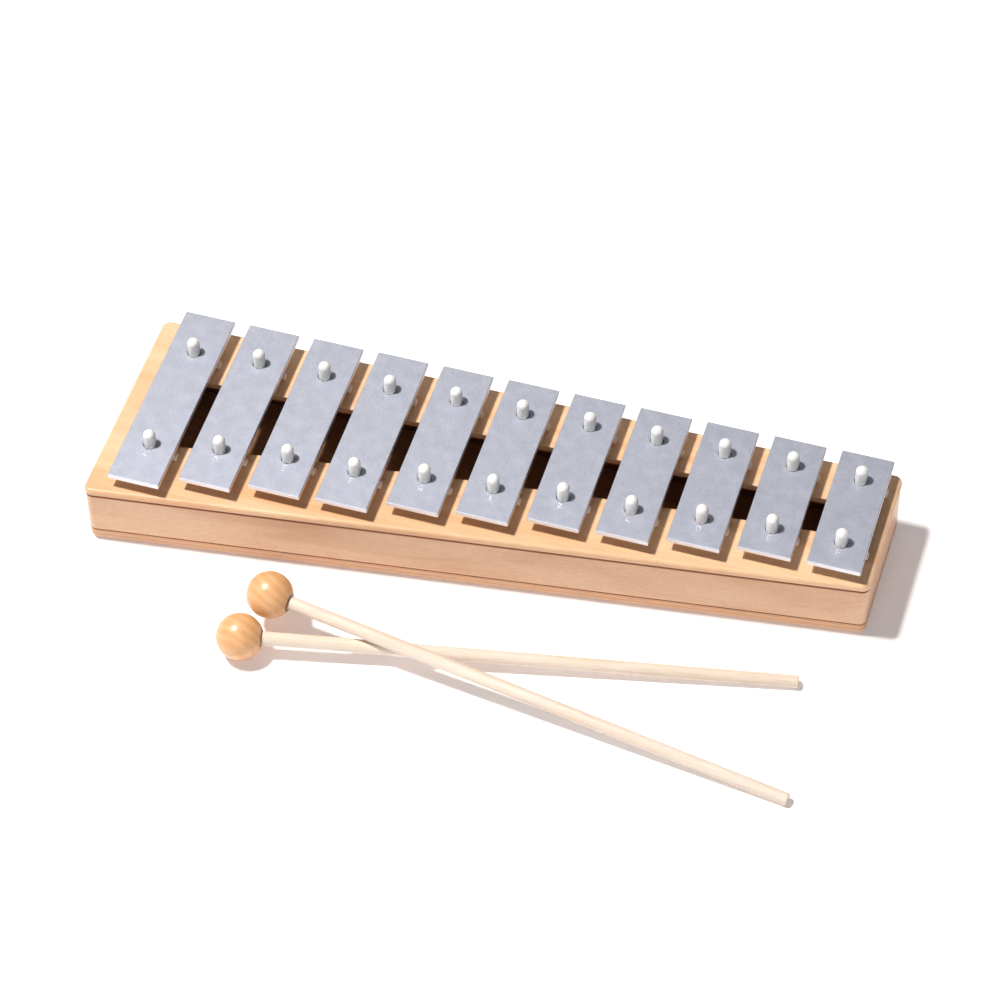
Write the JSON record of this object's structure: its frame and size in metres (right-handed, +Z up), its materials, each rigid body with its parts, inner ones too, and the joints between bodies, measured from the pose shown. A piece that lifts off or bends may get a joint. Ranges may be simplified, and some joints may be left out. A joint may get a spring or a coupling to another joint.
{
  "type": "glockenspiel",
  "caption": "Small diatonic metal-bar glockenspiel on a tapering wooden sound box, with a pair of ball-headed wooden mallets lying crossed in front.",
  "frame": {"origin": "middle of the sound box's footprint rectangle, on the surface it stands on (underside of the base board)", "axes": "+X along the row of bars from the low notes to the high ones, +Y away from the player, +Z up"},
  "size_m": [0.3638, 0.1739, 0.0522],
  "materials": {
    "beech": "clear satin varnish",
    "base_plywood": "clear satin varnish",
    "batten_wood": "unfinished",
    "white_nylon": "moulded, satin",
    "silicone": "matte",
    "zinc_plated_steel": "matte",
    "varnished_ball": "gloss varnish",
    "pale_stick": "sanded, unvarnished"
  },
  "bodies": {
    "sound_box": {"base_board": "base_plywood", "front_wall": "beech", "back_wall": "beech", "left_wall": "beech", "right_wall": "beech", "top_board": "beech", "front_pin_batten": "batten_wood", "back_pin_batten": "batten_wood", "front_pins": "white_nylon", "back_pins": "white_nylon", "front_rests": "silicone", "back_rests": "silicone"},
    "bar_c6": {"tone_bar_c6": "zinc_plated_steel"},
    "bar_d6": {"tone_bar_d6": "zinc_plated_steel"},
    "bar_e6": {"tone_bar_e6": "zinc_plated_steel"},
    "bar_f6": {"tone_bar_f6": "zinc_plated_steel"},
    "bar_g6": {"tone_bar_g6": "zinc_plated_steel"},
    "bar_a6": {"tone_bar_a6": "zinc_plated_steel"},
    "bar_b6": {"tone_bar_b6": "zinc_plated_steel"},
    "bar_c7": {"tone_bar_c7": "zinc_plated_steel"},
    "bar_d7": {"tone_bar_d7": "zinc_plated_steel"},
    "bar_e7": {"tone_bar_e7": "zinc_plated_steel"},
    "bar_f7": {"tone_bar_f7": "zinc_plated_steel"},
    "lower_mallet": {"lower_mallet_head": "varnished_ball", "lower_mallet_stick": "pale_stick"},
    "upper_mallet": {"upper_mallet_head": "varnished_ball", "upper_mallet_stick": "pale_stick"}
  },
  "joints": [
    {"name": "bar_c6_lift", "type": "slide", "parent": "sound_box", "child": "bar_c6", "axis": [0, 0, 1], "range_m": [0, 0.013]},
    {"name": "bar_d6_lift", "type": "slide", "parent": "sound_box", "child": "bar_d6", "axis": [0, 0, 1], "range_m": [0, 0.013]},
    {"name": "bar_e6_lift", "type": "slide", "parent": "sound_box", "child": "bar_e6", "axis": [0, 0, 1], "range_m": [0, 0.013]},
    {"name": "bar_f6_lift", "type": "slide", "parent": "sound_box", "child": "bar_f6", "axis": [0, 0, 1], "range_m": [0, 0.013]},
    {"name": "bar_g6_lift", "type": "slide", "parent": "sound_box", "child": "bar_g6", "axis": [0, 0, 1], "range_m": [0, 0.013]},
    {"name": "bar_a6_lift", "type": "slide", "parent": "sound_box", "child": "bar_a6", "axis": [0, 0, 1], "range_m": [0, 0.013]},
    {"name": "bar_b6_lift", "type": "slide", "parent": "sound_box", "child": "bar_b6", "axis": [0, 0, 1], "range_m": [0, 0.013]},
    {"name": "bar_c7_lift", "type": "slide", "parent": "sound_box", "child": "bar_c7", "axis": [0, 0, 1], "range_m": [0, 0.013]},
    {"name": "bar_d7_lift", "type": "slide", "parent": "sound_box", "child": "bar_d7", "axis": [0, 0, 1], "range_m": [0, 0.013]},
    {"name": "bar_e7_lift", "type": "slide", "parent": "sound_box", "child": "bar_e7", "axis": [0, 0, 1], "range_m": [0, 0.013]},
    {"name": "bar_f7_lift", "type": "slide", "parent": "sound_box", "child": "bar_f7", "axis": [0, 0, 1], "range_m": [0, 0.013]},
    {"name": "lower_mallet_lift", "type": "slide", "parent": "sound_box", "child": "lower_mallet", "axis": [0, 0, 1], "range_m": [0, 0.06]},
    {"name": "upper_mallet_lift", "type": "slide", "parent": "lower_mallet", "child": "upper_mallet", "axis": [0, 0, 1], "range_m": [0, 0.06]}
  ]
}
